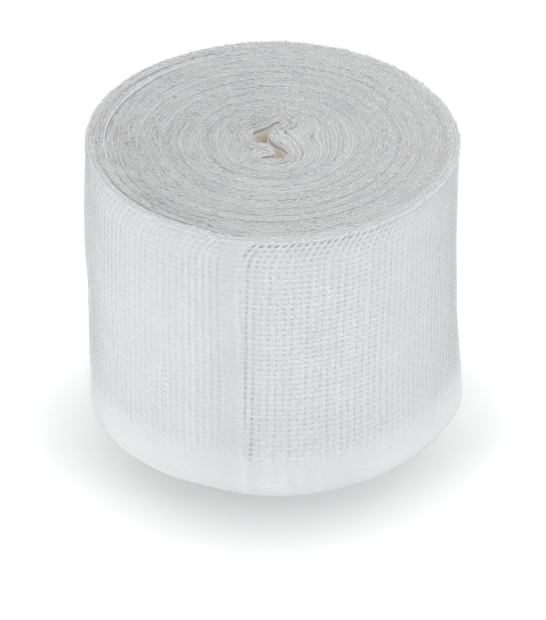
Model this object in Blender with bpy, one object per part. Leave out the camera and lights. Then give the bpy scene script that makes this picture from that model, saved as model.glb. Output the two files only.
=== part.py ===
"""A wound gauze bandage, five centimetres wide, standing on one of its edges.

The roll is one closed solid. Its turns lie in groups that spiral out from the core over both end
faces. The outer end laps over the turn beneath it on the wall, the edges of the last turns stand
proud as a cuff that stops at that end, and the start of the cloth, folded into an S, leaves a void
of the same form through the core.
"""

import math

import bmesh
import bpy

# Lengths in the tables below are in millimetres and are turned into metres when points are made.
MM = 0.001

# Driving dimensions
CLOTH_WIDTH = 50.0      # width of the bandage, which is the height of the roll
ROLL_RADIUS = 31.6      # wall of the outermost turn, before the roll is settled out of round
LAP_STEP = 0.5          # thickness of the outer layer, seen as a step at its end
LAP_ANGLE = -99.0       # where the outer end stops, in degrees from +X, at the front
CORE_RADIUS = 7.0       # edge of the folded start of the cloth
CORE_SHIFT = -0.5       # the core lies this far to the left of the roll's axis
RIM_ROUND = 0.55        # height of the rounding where an end face meets the wall
CUFF_RAISE = 0.65       # how far the last turns stand above the other edges
CUFF_START = 0.50       # share of a turn, from the lap round, at which the cuff begins to rise
CUFF_FULL = 0.72        # share of a turn at which it has its full height
COLUMNS = 64            # facets round the roll
CORE_ROWS = 6           # rings of faces over the folded core
CREST_PLACES = (0.28, 0.72)   # the two edges of a group's crest, as shares of its width
FULL_CREST_WIDTH = 1.6  # a narrower group rises only in part, so the first one grows from nothing

# Groups of turns on the top face, one row for the groove before each group, from the core out.
# The first two rows are alike, because the first group starts with no width.
GROUP_RADIUS, GROOVE_DEPTH, CREST_HEIGHT = range(3)
TOP_GROUPS = (
    (7.0, 0.25, -0.10),
    (7.0, 0.25, -0.05),
    (9.3, 0.35, -0.15),
    (11.7, 0.45, 0.05),
    (13.8, 0.30, -0.10),
    (16.1, 0.40, -0.20),
    (18.4, 0.35, -0.05),
    (20.6, 0.45, -0.15),
    (22.9, 0.35, 0.00),
    (24.9, 0.40, -0.10),
    (26.7, 0.55, 0.00),
    (28.5, 0.85, 0.05),
    (29.9, 0.45, 0.00),
)

# Wider groups on the bottom face, whose crests are the flat lands that the roll stands on
BOTTOM_GROUPS = (
    (7.0, 0.30, 0.0),
    (7.0, 0.30, 0.0),
    (12.5, 0.30, 0.0),
    (17.5, 0.35, 0.0),
    (22.5, 0.30, 0.0),
    (27.0, 0.40, 0.0),
    (29.6, 0.30, 0.0),
)

# The settled, slightly uneven outline: radius at the top and at the foot for each direction
ANGLE, TOP_RADIUS, FOOT_RADIUS = range(3)
OUTLINE = (
    (0.0, 31.4, 32.1),
    (30.0, 31.3, 31.7),
    (60.0, 31.8, 31.6),
    (90.0, 32.1, 31.7),
    (120.0, 31.4, 31.6),
    (150.0, 31.2, 31.5),
    (180.0, 31.4, 31.6),
    (210.0, 31.5, 31.1),
    (240.0, 31.4, 30.9),
    (270.0, 31.1, 31.9),
    (300.0, 30.9, 31.2),
    (330.0, 31.0, 30.7),
    (360.0, 31.4, 32.1),
)

# The wall from top to foot: share of the foot's outline, sideways shift and swelling at each height
HEIGHT, FOOT_SHARE, SHIFT, SWELL = range(4)
WALL = (
    (50.0, 0.0, 0.0, 0.0),
    (44.0, 0.0, -0.15, 0.05),
    (38.0, 0.0, -0.30, 0.10),
    (30.0, 0.0, -0.30, 0.05),
    (23.0, 0.05, 0.0, -0.10),
    (15.0, 0.20, 0.05, -0.10),
    (8.0, 0.55, 0.25, 0.0),
    (3.0, 0.85, 0.45, 0.0),
    (0.0, 1.0, 0.50, 0.0),
)

# Swellings of the folded cloth at the core: place, spread and rise of each
BUMP_X, BUMP_Y, BUMP_SPREAD, BUMP_RISE = range(4)
CORE_SWELLINGS = (
    (2.2, 0.9, 2.2, 1.15),
    (-2.0, -2.6, 1.9, 0.75),
    (0.6, 5.6, 1.6, 0.90),
    (-3.6, 2.6, 1.5, 0.55),
    (-0.6, -5.9, 1.7, 0.80),
)

# The S-shaped void, from its upper tail to its lower one: place of its middle line and half width
VOID_X, VOID_Y, VOID_HALF = range(3)
CORE_VOID = (
    (1.1, 5.9, 0.18),
    (0.1, 4.7, 0.45),
    (-1.3, 3.6, 0.80),
    (-2.1, 2.2, 1.20),
    (-1.7, 0.8, 1.05),
    (-0.9, -0.4, 0.62),
    (-0.1, -1.4, 0.42),
    (0.8, -2.3, 0.72),
    (1.3, -3.4, 0.95),
    (0.8, -4.6, 0.75),
    (-0.4, -5.2, 0.42),
    (-1.8, -5.2, 0.18),
)
VOID_STEPS = 2          # points of the outline between two rows of the table

# How wide the void is at each height, as a share: it closes up inside the roll
VOID_LEVELS = (
    (-2.0, 1.0),
    (4.0, 0.9),
    (14.0, 0.6),
    (36.0, 0.6),
    (46.0, 0.9),
    (53.0, 1.0),
)

CLOTH_COLOUR = (0.84, 0.86, 0.88, 1.0)
CLOTH_ROUGHNESS = 0.95


def clear_scene():
    """Removes whatever the file already holds."""
    for thing in list(bpy.data.objects):
        bpy.data.objects.remove(thing)


def read_row(table, column, place):
    """A table's column at a place between two rows, counted in rows."""
    first = min(int(place), len(table) - 2)
    share = place - first
    return table[first][column] * (1 - share) + table[first + 1][column] * share


def eased(share):
    """Zero to one with a soft start and end."""
    share = max(0.0, min(1.0, share))
    return share * share * (3 - 2 * share)


def read_smooth(table, column, key, value):
    """A table's column at a value of its key column, with no corner at the rows."""
    for low, high in zip(table, table[1:]):
        if min(low[key], high[key]) <= value <= max(low[key], high[key]):
            share = eased((value - low[key]) / (high[key] - low[key]))
            return low[column] * (1 - share) + high[column] * share
    return table[-1][column]


def settle(radius, angle, height):
    """A point of the round winding, moved to where it lies in the settled roll, in metres."""
    turned = angle % 360.0
    level = max(0.0, min(CLOTH_WIDTH, height))
    top = read_smooth(OUTLINE, TOP_RADIUS, ANGLE, turned)
    foot = read_smooth(OUTLINE, FOOT_RADIUS, ANGLE, turned)
    share = read_smooth(WALL, FOOT_SHARE, HEIGHT, level)
    swell = read_smooth(WALL, SWELL, HEIGHT, level)
    shift = read_smooth(WALL, SHIFT, HEIGHT, level)
    wall = top * (1 - share) + foot * share + swell
    outward = radius / ROLL_RADIUS
    settled = radius + (wall - ROLL_RADIUS) * outward ** 2
    x = settled * math.cos(math.radians(angle)) + CORE_SHIFT * (1 - outward) + shift * outward
    y = settled * math.sin(math.radians(angle))
    return (x * MM, y * MM, height * MM)


def wall_radius(turn_share):
    """Radius of the outermost layer, which gains one thickness in its turn."""
    return ROLL_RADIUS - LAP_STEP * (1 - turn_share)


def cuff(group, last, turn_share):
    """How far the crest of a group is raised: only in the last two groups, near the outer end."""
    if group < last - 1:
        return 0.0
    return CUFF_RAISE * eased((turn_share - CUFF_START) / (CUFF_FULL - CUFF_START))


def core_height(x, y, outward):
    """Height of the folded cloth over the core, level with the first groove at its edge."""
    base = CLOTH_WIDTH - TOP_GROUPS[0][GROOVE_DEPTH]
    rise = sum(
        row[BUMP_RISE] * math.exp(
            -((x - row[BUMP_X]) ** 2 + (y - row[BUMP_Y]) ** 2) / row[BUMP_SPREAD] ** 2
        )
        for row in CORE_SWELLINGS
    )
    return base + rise * (1 - outward ** 6)


def column_angle(column):
    return LAP_ANGLE + 360.0 * column / COLUMNS


def group_rows(groups, column, on_top):
    """Points along one column of an end face, from the first groove out to the rim."""
    share = column / COLUMNS
    last = len(groups) - 2
    angle = column_angle(column)
    points = []
    for group in range(last + 1):
        place = group + share
        inner = read_row(groups, GROUP_RADIUS, place)
        if group < last:
            outer = read_row(groups, GROUP_RADIUS, place + 1)
        else:
            outer = wall_radius(share)
        groove = read_row(groups, GROOVE_DEPTH, place)
        crest = read_row(groups, CREST_HEIGHT, place)
        if on_top:
            crest += cuff(group, last, share)
        risen = min(1.0, (outer - inner) / FULL_CREST_WIDTH) if group < last else 1.0
        heights = [-groove] + [crest * risen - groove * (1 - risen)] * len(CREST_PLACES)
        radii = [inner] + [inner + (outer - inner) * crest_place for crest_place in CREST_PLACES]
        for radius, height in zip(radii, heights):
            level = CLOTH_WIDTH + height if on_top else -height
            points.append(settle(radius, angle, level))
    return points


def wall_rows(column):
    """Points down one column of the wall, rim to foot."""
    share = column / COLUMNS
    raised = cuff(1, 1, share)
    levels = [CLOTH_WIDTH - RIM_ROUND + raised]
    levels += [row[HEIGHT] for row in WALL[1:-1]]
    levels.append(RIM_ROUND)
    return [settle(wall_radius(share), column_angle(column), level) for level in levels]


def core_rows(column, on_top):
    """Points along one column of the core, from its middle out to the first groove."""
    groups = TOP_GROUPS if on_top else BOTTOM_GROUPS
    angle = column_angle(column)
    points = []
    for row in range(CORE_ROWS):
        outward = row / CORE_ROWS
        radius = CORE_RADIUS * outward
        if on_top:
            x = radius * math.cos(math.radians(angle)) + CORE_SHIFT
            y = radius * math.sin(math.radians(angle))
            level = core_height(x, y, outward)
        else:
            level = groups[0][GROOVE_DEPTH]
        points.append(settle(radius, angle, level))
    return points


def skin(bm, columns, inward):
    """Faces between neighbouring columns of points."""
    grid = [[bm.verts.new(point) for point in column] for column in columns]
    for left, right in zip(grid, grid[1:]):
        for low in range(len(left) - 1):
            corners = [left[low], left[low + 1], right[low + 1], right[low]]
            bm.faces.new(corners[::-1] if inward else corners)


def wound_body():
    """The roll without its core void, welded from its two end faces and its wall."""
    bm = bmesh.new()
    steps = range(COLUMNS + 1)
    walls = [wall_rows(column) for column in steps]
    tops = [core_rows(c, True) + group_rows(TOP_GROUPS, c, True) + walls[c][:1] for c in steps]
    feet = [core_rows(c, False) + group_rows(BOTTOM_GROUPS, c, False) + walls[c][-1:] for c in steps]
    skin(bm, tops, False)
    skin(bm, walls, False)
    skin(bm, feet, True)
    bmesh.ops.remove_doubles(bm, verts=bm.verts, dist=1e-6)
    bmesh.ops.dissolve_degenerate(bm, edges=bm.edges, dist=1e-6)
    open_edges = [edge for edge in bm.edges if edge.is_boundary]
    bmesh.ops.holes_fill(bm, edges=open_edges, sides=0)
    bmesh.ops.triangulate(bm, faces=bm.faces)
    bmesh.ops.recalc_face_normals(bm, faces=bm.faces)
    return bm


def curve_point(table, place):
    """A row worked out between two rows of a table, on a smooth curve through all of them."""
    first = min(int(place), len(table) - 2)
    share = place - first
    rows = [table[max(0, min(len(table) - 1, first + step))] for step in (-1, 0, 1, 2)]
    weights = (
        -0.5 * share + share ** 2 - 0.5 * share ** 3,
        1 - 2.5 * share ** 2 + 1.5 * share ** 3,
        0.5 * share + 2 * share ** 2 - 1.5 * share ** 3,
        -0.5 * share ** 2 + 0.5 * share ** 3,
    )
    return [sum(w * row[n] for w, row in zip(weights, rows)) for n in range(len(table[0]))]


def void_outline(width_share):
    """The S as a closed outline, down one side of its middle line and back up the other."""
    count = (len(CORE_VOID) - 1) * VOID_STEPS
    middle = [curve_point(CORE_VOID, step / VOID_STEPS) for step in range(count + 1)]
    sides = ([], [])
    for step, row in enumerate(middle):
        before, after = middle[max(0, step - 1)], middle[min(count, step + 1)]
        along_x, along_y = after[VOID_X] - before[VOID_X], after[VOID_Y] - before[VOID_Y]
        length = math.hypot(along_x, along_y)
        half = row[VOID_HALF] * width_share
        for side, sign in zip(sides, (1, -1)):
            x = row[VOID_X] - sign * half * along_y / length
            y = row[VOID_Y] + sign * half * along_x / length
            side.append((x, y))
    return sides[0] + sides[1][::-1]


def void_cutter():
    """The solid that the void takes out of the core."""
    bm = bmesh.new()
    loops = []
    for height, width_share in VOID_LEVELS:
        outline = void_outline(width_share)
        loops.append([bm.verts.new((x * MM, y * MM, height * MM)) for x, y in outline])
    for lower, upper in zip(loops, loops[1:]):
        for corner in range(len(lower)):
            following = (corner + 1) % len(lower)
            bm.faces.new((lower[corner], lower[following], upper[following], upper[corner]))
    bm.faces.new(loops[0])
    bm.faces.new(loops[-1])
    bmesh.ops.triangulate(bm, faces=bm.faces)
    bmesh.ops.recalc_face_normals(bm, faces=bm.faces)
    return bm


def centre_of_box(bm):
    """Middle of the mesh's box, seen from above."""
    xs = [vert.co.x for vert in bm.verts]
    ys = [vert.co.y for vert in bm.verts]
    return (min(xs) + max(xs)) / 2, (min(ys) + max(ys)) / 2


def make_object(name, bm, centre):
    """An object from a mesh in work, moved so that the roll's box is centred on the origin."""
    bmesh.ops.translate(bm, verts=bm.verts, vec=(-centre[0], -centre[1], 0.0))
    mesh = bpy.data.meshes.new(name)
    bm.to_mesh(mesh)
    bm.free()
    thing = bpy.data.objects.new(name, mesh)
    bpy.context.scene.collection.objects.link(thing)
    return thing


def cloth_material():
    """Bleached cotton gauze: white, matt, with no shine."""
    material = bpy.data.materials.new("bleached_gauze")
    material.use_nodes = True
    shader = material.node_tree.nodes["Principled BSDF"]
    shader.inputs["Base Color"].default_value = CLOTH_COLOUR
    shader.inputs["Roughness"].default_value = CLOTH_ROUGHNESS
    shader.inputs["Metallic"].default_value = 0.0
    return material


def build():
    clear_scene()
    body = wound_body()
    centre = centre_of_box(body)
    roll = make_object("gauze_roll", body, centre)
    roll.data.materials.append(cloth_material())
    roll.data.shade_smooth()
    roll.data.set_sharp_from_angle(angle=math.radians(35))
    cutter = make_object("core_void", void_cutter(), centre)
    cutter.hide_render = True
    cutter.display_type = "WIRE"
    cut = roll.modifiers.new("core_void", "BOOLEAN")
    cut.operation = "DIFFERENCE"
    cut.solver = "EXACT"
    cut.object = cutter


build()
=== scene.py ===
# %% [markdown]
# A roll of gauze bandage. One long strip of open white cotton cloth, five centimetres wide, is wound
# on itself and stands on one of its edges. The wall shows the weave of the last turns, and the end
# face shows the edges of some fifty turns, with the folded start of the strip at the middle.
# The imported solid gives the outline, the height of every turn and the void in the core. This lesson
# weaves real threads round it, because a gauze is mostly holes, and a painted weave has no depth.

# %% Load the frame
import math

import bmesh
import bpy
import numpy as np
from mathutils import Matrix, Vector
from mathutils.bvhtree import BVHTree


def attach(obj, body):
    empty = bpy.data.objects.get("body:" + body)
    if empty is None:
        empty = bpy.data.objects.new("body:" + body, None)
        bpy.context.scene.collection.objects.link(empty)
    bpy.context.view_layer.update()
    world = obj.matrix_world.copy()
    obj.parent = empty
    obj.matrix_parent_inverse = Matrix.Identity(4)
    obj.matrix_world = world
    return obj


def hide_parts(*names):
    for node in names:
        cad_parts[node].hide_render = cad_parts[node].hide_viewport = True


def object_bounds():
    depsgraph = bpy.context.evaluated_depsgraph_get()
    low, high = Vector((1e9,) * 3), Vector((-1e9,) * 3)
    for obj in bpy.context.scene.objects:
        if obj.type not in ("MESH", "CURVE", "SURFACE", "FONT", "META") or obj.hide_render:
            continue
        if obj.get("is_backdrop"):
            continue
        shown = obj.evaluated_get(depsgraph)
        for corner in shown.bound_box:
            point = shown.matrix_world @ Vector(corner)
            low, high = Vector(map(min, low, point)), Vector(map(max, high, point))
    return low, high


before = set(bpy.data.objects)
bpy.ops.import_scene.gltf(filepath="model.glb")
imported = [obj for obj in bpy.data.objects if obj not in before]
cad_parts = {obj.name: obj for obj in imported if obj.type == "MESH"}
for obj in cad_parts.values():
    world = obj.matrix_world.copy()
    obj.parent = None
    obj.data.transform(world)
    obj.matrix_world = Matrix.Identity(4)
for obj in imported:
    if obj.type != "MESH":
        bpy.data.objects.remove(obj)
cad_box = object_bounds()
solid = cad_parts["gauze_roll"]
MM = 0.001
print("box of the solid in mm:", [round(v / MM, 2) for corner in cad_box for v in corner])

# %% [markdown]
# The camera comes first, since everything is seen through it. The real picture was taken with a
# long lens from some distance, looking down at about a third of a right angle. A long lens a good
# metre away keeps the two sides of the roll parallel, as they are in the picture, and the camera is
# moved down a little instead of shifting its lens, so that the roll stands in the same place.

# %% Camera
PICTURE_HEIGHT = 620            # pixels
LENS_PIXELS = 7445.0            # focal length, in pixels of the picture
CAMERA_DISTANCE = 1250.0        # mm, from the middle of the roll
CAMERA_ELEVATION = math.radians(33.5)
AIM_RIGHT, AIM_DOWN = -0.03, 7.12   # mm by which the aim is off the middle of the roll
AXIS = Vector((-0.25, -0.28))      # the roll's axis, in mm from the middle of its box
HALF_HEIGHT = 25.0
SENSOR = 36.0

look_back = Vector((0.0, -math.cos(CAMERA_ELEVATION), math.sin(CAMERA_ELEVATION)))
look_up = Vector((0.0, math.sin(CAMERA_ELEVATION), math.cos(CAMERA_ELEVATION)))
aim = Vector((AXIS.x + AIM_RIGHT, AXIS.y, HALF_HEIGHT)) - look_up * AIM_DOWN

camera_data = bpy.data.cameras.new("camera")
camera_data.sensor_width = SENSOR
camera_data.lens = LENS_PIXELS * SENSOR / PICTURE_HEIGHT
camera = bpy.data.objects.new("camera", camera_data)
camera.location = (aim + look_back * CAMERA_DISTANCE) * MM
camera.rotation_euler = (math.pi / 2 - CAMERA_ELEVATION, 0.0, 0.0)
bpy.context.scene.collection.objects.link(camera)
bpy.context.scene.camera = camera
print("lens", round(camera_data.lens), "mm")

# %% [markdown]
# Next the solid is measured, so that the threads lie where it says. Rays sent in from the side find
# the wall all the way round, from the place where the outer end stops to the same place one turn
# later. Rays sent down from above find the height of the turns. Reading the shape this way keeps the
# cloth on the solid even if its outline is changed, which a circle drawn by hand would not.

# %% Measure the wall and the end face
LAP_ANGLE = -99.0               # degrees, where the outer end stops
LAYER = 0.5                     # mm from one turn to the next
ROUNDING = 0.7                  # mm next to either edge where the wall is rounded off
READ_STEPS = 128                # places round the roll
END_LEVELS = np.array([ROUNDING, 1.5, 2.7])   # mm in from either edge, where the wall bends most
READ_LEVELS = np.concatenate((END_LEVELS, np.linspace(4.4, 45.6, 12), 2 * HALF_HEIGHT - END_LEVELS[::-1]))
START_MARGIN, END_MARGIN = 0.006, 0.002   # of a turn, to stay off the step at the lap

surface = BVHTree.FromPolygons(
    [vert.co / MM for vert in solid.data.vertices],
    [tuple(face.vertices) for face in solid.data.polygons],
)


def direction(angle):
    """Level direction at an angle in degrees."""
    return Vector((math.cos(math.radians(angle)), math.sin(math.radians(angle))))


def read_wall(share, level):
    """Distance of the solid's wall from the axis, at a share of a turn after the lap."""
    outward = direction(LAP_ANGLE + 360 * share)
    start = Vector((*(AXIS + outward * 60.0), level))
    spot = surface.ray_cast(start, Vector((*-outward, 0.0)))[0]
    return (spot.xy - AXIS).length


def read_top(x, y, upward=1.0, reach=0.18):
    """Height of the solid's end face, or how deep its lower face lies for upward = -1."""
    found = []
    for dx, dy in ((0, 0), (reach, 0), (-reach, 0), (0, reach), (0, -reach)):
        start = Vector((x + dx, y + dy, HALF_HEIGHT + upward * 60.0))
        spot = surface.ray_cast(start, Vector((0.0, 0.0, -upward)))[0]
        if spot is not None:
            found.append(upward * spot.z)
    return upward * max(found) if found else HALF_HEIGHT


read_shares = np.linspace(0.0, 1.0, READ_STEPS + 1)
safe_shares = read_shares.clip(START_MARGIN, 1 - END_MARGIN)
wall = np.array([[read_wall(share, level) for level in READ_LEVELS] for share in safe_shares])
for _ in range(2):
    wall[1:-1] = (wall[:-2] + 2 * wall[1:-1] + wall[2:]) / 4


def wall_at(share, level):
    """Distance of the wall from the axis, from the places that were read."""
    row = [np.interp(share, read_shares, wall[:, n]) for n in range(len(READ_LEVELS))]
    return float(np.interp(level, READ_LEVELS, row))


print("wall from", wall.min().round(2), "to", wall.max().round(2), "mm from the axis")


# %% The height of the rim
CUFF_ENDS = (0.955, 0.985)      # shares of a turn between which the raised last turns come down
CREST_BACK = (0.6, 0.9, 1.3)    # mm in from the wall, where the last turn's crest is read


def eased(share):
    """Nought to one with a soft start and end."""
    share = np.clip(share, 0.0, 1.0)
    return share * share * (3 - 2 * share)


def read_rim(share):
    outward = direction(LAP_ANGLE + 360 * share)
    spots = [AXIS + outward * (read_wall(share, HALF_HEIGHT) - back) for back in CREST_BACK]
    return max(read_top(*spot) for spot in spots)


rim = np.array([read_rim(share) for share in safe_shares])
plain_rim = rim[read_shares < 0.4].mean()
cuff = np.maximum(rim - plain_rim, 0.0)
cuff_left = 1 - eased((read_shares - CUFF_ENDS[0]) / (CUFF_ENDS[1] - CUFF_ENDS[0]))
rim -= cuff * (1 - cuff_left)
print("rim at", plain_rim.round(2), "mm, raised by up to", cuff.max().round(2))

# %% [markdown]
# The last two turns are woven thread by thread, and both lie on one guide: a thin sheet that winds
# twice round the roll, half a millimetre further out each time. The cloth is thought of as lying
# flat, with its threads on a plain square grid, and the guide carries each flat place to its place
# on the roll. It is the way real cloth behaves, and it has a welcome effect. The threads of the upper
# turn drift past those of the turn below, so at the right the holes line up and the roll looks open,
# while at the left the lower threads fill them and it looks closed, as in the picture.

# %% Guide for the last two turns
GUIDE_STEPS = 190               # columns in each turn
GUIDE_ROWS = 27
OVERRUN = 0.04                  # of a turn that the guide goes on past its two turns, at both ends
SKIN_DEPTH = 0.10               # mm from the wall to the middle of the outermost cloth
PRESSED_LAYER = 0.11            # mm from the outermost cloth to the one below, pressed together
END_PRESSED = 0.37              # mm that the outer end is pressed down on the turn below
END_SHARE = 0.12                # of a turn before the end, over which it comes down


def layer_shift(turn):
    """How far the cloth lies out from the wall's outermost turn, in mm."""
    layer, share = math.floor(turn) - 1, turn % 1.0
    near_end = float(eased((share - 1) / END_SHARE + 1))
    if layer >= 0:
        return layer * LAYER - END_PRESSED * (near_end if layer == 0 else 1.0)
    loose = PRESSED_LAYER if layer == -1 else PRESSED_LAYER + LAYER
    return -loose - (LAYER - PRESSED_LAYER) * near_end * (layer == -1)


def guide_point(turn, height_share):
    """Place on the strip: turns from its second last one, and share of its width from the foot."""
    share = turn % 1.0
    level = np.interp(share, read_shares, rim) * height_share
    radius = wall_at(share, level) + layer_shift(turn) - SKIN_DEPTH
    outward = direction(LAP_ANGLE + 360 * turn)
    return np.array((*(AXIS + outward * radius), level))


guide_turns = np.linspace(-OVERRUN, 2.0 + OVERRUN, int(GUIDE_STEPS * (2 + 2 * OVERRUN)) + 1)
guide_shares = np.linspace(0.0, 1.0, GUIDE_ROWS)
guide_grid = np.array([[guide_point(turn, share) for share in guide_shares] for turn in guide_turns])
steps = np.linalg.norm(np.diff(guide_grid[:, GUIDE_ROWS // 2], axis=0), axis=1)
guide_lengths = np.concatenate(([0.0], np.cumsum(steps)))
GUIDE_LENGTH = float(guide_lengths[-1])


def length_at(turn):
    """Length of cloth from the guide's start to a place counted in turns, in mm."""
    return float(np.interp(turn, guide_turns, guide_lengths))


def make_object(name, mesh):
    thing = bpy.data.objects.new(name, mesh)
    bpy.context.scene.collection.objects.link(thing)
    return thing


def make_guide():
    mesh = bpy.data.meshes.new("winding_guide")
    columns, rows = len(guide_turns), GUIDE_ROWS
    faces = [
        (c * rows + r, (c + 1) * rows + r, (c + 1) * rows + r + 1, c * rows + r + 1)
        for c in range(columns - 1)
        for r in range(rows - 1)
    ]
    mesh.from_pydata((guide_grid.reshape(-1, 3) * MM).tolist(), [], faces)
    flat = mesh.uv_layers.new(name="cloth_uv")
    for loop in mesh.loops:
        column, row = divmod(loop.vertex_index, rows)
        flat.data[loop.index].uv = (guide_lengths[column] / GUIDE_LENGTH, guide_shares[row])
    outward = mesh.attributes.new("outward", "FLOAT_VECTOR", "POINT")
    for index in range(columns * rows):
        angle = LAP_ANGLE + 360 * guide_turns[index // rows]
        outward.data[index].vector = (*direction(angle), 0.0)
    return make_object("winding_guide", mesh)


guide = make_guide()
print("guide of", len(guide.data.polygons), "faces,", round(GUIDE_LENGTH), "mm of cloth")

# %% [markdown]
# Every set of threads is made by a small tree of geometry nodes. The two helpers below let a tree be
# written as ordinary sums: a Field stands for a number that the nodes work out at each point, and
# adding or multiplying two of them adds the node that does it.

# %% Helpers for trees of nodes
class Field:
    """A value that a tree works out at each point of a shape."""

    def __init__(self, tree, socket):
        self.tree, self.socket = tree, socket

    def __add__(self, other):
        return self.tree.sum("ADD", self, other)

    def __sub__(self, other):
        return self.tree.sum("SUBTRACT", self, other)

    def __rsub__(self, other):
        return self.tree.sum("SUBTRACT", other, self)

    def __mul__(self, other):
        return self.tree.sum("MULTIPLY", self, other)

    def __truediv__(self, other):
        return self.tree.sum("DIVIDE", self, other)

    __radd__, __rmul__ = __add__, __mul__


class Tree:
    """A tree of geometry nodes, with named inputs, whose nodes are linked as they are added."""

    def __init__(self, name):
        self.group = bpy.data.node_groups.new(name, "GeometryNodeTree")
        self.group.is_modifier = True
        for way in ("INPUT", "OUTPUT"):
            self.group.interface.new_socket("Geometry", in_out=way, socket_type="NodeSocketGeometry")
        self.entry = self.group.nodes.new("NodeGroupInput")
        self.carrier = Field(self, self.entry.outputs["Geometry"])

    def size(self, name, kind="Float"):
        """A named input of the tree."""
        self.group.interface.new_socket(name, in_out="INPUT", socket_type="NodeSocket" + kind)
        return Field(self, self.entry.outputs[name])

    def put(self, socket, value):
        if isinstance(value, Field):
            self.group.links.new(value.socket, socket)
        elif value is not None:
            socket.default_value = value

    def node(self, kind, inputs=None, out=None, **settings):
        """Adds a node, fills its inputs by name, and gives one of its outputs."""
        node = self.group.nodes.new(kind)
        for key, value in settings.items():
            setattr(node, key, value)
        for name, value in (inputs or {}).items():
            socket = next(s for s in node.inputs if s.enabled and s.name == name)
            self.put(socket, value)
        outputs = [socket for socket in node.outputs if socket.enabled]
        chosen = next((socket for socket in outputs if socket.name == out), outputs[0])
        return Field(self, chosen)

    def sum(self, operation, *values):
        node = self.group.nodes.new("ShaderNodeMath")
        node.operation = operation
        for socket, value in zip(node.inputs, values):
            self.put(socket, value)
        return Field(self, node.outputs[0])

    def vector(self, x=0.0, y=0.0, z=0.0):
        return self.node("ShaderNodeCombineXYZ", {"X": x, "Y": y, "Z": z})

    def parts(self, vector):
        """The three numbers of a vector."""
        node = self.group.nodes.new("ShaderNodeSeparateXYZ")
        self.put(node.inputs[0], vector)
        return [Field(self, socket) for socket in node.outputs]

    def vectors(self, operation, first, second):
        node = self.group.nodes.new("ShaderNodeVectorMath")
        node.operation = operation
        self.put(node.inputs[0], first)
        self.put(node.inputs["Scale"] if operation == "SCALE" else node.inputs[1], second)
        return Field(self, node.outputs[0])

    def attribute(self, name, kind="FLOAT"):
        return self.node("GeometryNodeInputNamedAttribute", {"Name": name}, data_type=kind)

    def keep(self, shape, name, value, kind="FLOAT", domain="POINT"):
        """The shape with a value kept on it under a name."""
        inputs = {"Geometry": shape, "Name": name, "Value": value}
        return self.node("GeometryNodeStoreNamedAttribute", inputs, data_type=kind, domain=domain)

    def noise(self, vector, scale, detail=1.0):
        """Soft random variation between about -1 and 1."""
        fac = self.node("ShaderNodeTexNoise", {"Vector": vector, "Scale": scale, "Detail": detail})
        return (fac - 0.5) * 2.0

    def finish(self, shape, material):
        """Ends the tree: real mesh, smooth faces and its material."""
        shape = self.node("GeometryNodeRealizeInstances", {"Geometry": shape})
        shape = self.node("GeometryNodeSetShadeSmooth", {"Geometry": shape})
        shape = self.node("GeometryNodeSetMaterial", {"Geometry": shape, "Material": material})
        exit_node = self.group.nodes.new("NodeGroupOutput")
        self.group.links.new(shape.socket, exit_node.inputs[0])
        return self


def grow(name, tree, carrier, flat_from=None, **sizes):
    """Runs a tree on a carrier mesh and gives the result as a plain mesh object.

    Edges that turn by more than flat_from degrees stay crisp, and the others are smooth.
    """
    helper = make_object(name + "_helper", carrier)
    modifier = helper.modifiers.new("grow", "NODES")
    modifier.node_group = tree.group
    for socket in tree.group.interface.items_tree:
        label = socket.name.replace(" ", "_").lower()
        if socket.in_out == "INPUT" and label in sizes:
            modifier[socket.identifier] = sizes[label]
    helper.update_tag()
    graph = bpy.context.evaluated_depsgraph_get()
    ready = helper.evaluated_get(graph)
    mesh = bpy.data.meshes.new_from_object(ready, preserve_all_data_layers=True, depsgraph=graph)
    mesh.name = name
    if flat_from:
        mesh.set_sharp_from_angle(angle=math.radians(flat_from))
    piece = make_object(name, mesh)
    helper.modifiers.remove(modifier)
    bpy.data.objects.remove(helper)
    mesh.calc_loop_triangles()
    print(name, len(mesh.loop_triangles), "triangles")
    return piece


# %% [markdown]
# A thread is a twist of cotton fibres, so its colour runs in faint streaks along it, some threads are
# a little greyer than their neighbours, and fibres standing up make its surface velvety. The upright
# threads are soft and loosely spun, which looks bluish white, and the level ones are thin, tight and
# brighter. A pattern that knows the thread's own length and girth is used for both, so that the
# streaks run along the threads whichever way they turn.

# %% Cotton for the threads
# The near white that every cotton is mixed towards at the foot: painted light, brightening the foot.
FOOT_PAINTED_LIGHT = (0.975, 0.98, 0.98, 1)


def mix_colours(nodes, links, share, first, second):
    mix = nodes.new("ShaderNodeMix")
    mix.data_type = "RGBA"
    for socket, value in ((mix.inputs[0], share), (mix.inputs[6], first), (mix.inputs[7], second)):
        if isinstance(value, bpy.types.NodeSocket):
            links.new(value, socket)
        else:
            socket.default_value = value
    return mix.outputs[2]


def shader_noise(nodes, links, vector, scale, detail=2.0):
    noise = nodes.new("ShaderNodeTexNoise")
    noise.inputs["Scale"].default_value = scale
    noise.inputs["Detail"].default_value = detail
    links.new(vector, noise.inputs["Vector"])
    return noise.outputs["Fac"]


def shader_ramp(nodes, links, value, low, high):
    """Nought below low, one above high, and even between."""
    ramp = nodes.new("ShaderNodeMapRange")
    ramp.inputs["From Min"].default_value = low
    ramp.inputs["From Max"].default_value = high
    links.new(value, ramp.inputs["Value"])
    return ramp.outputs["Result"]


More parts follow.
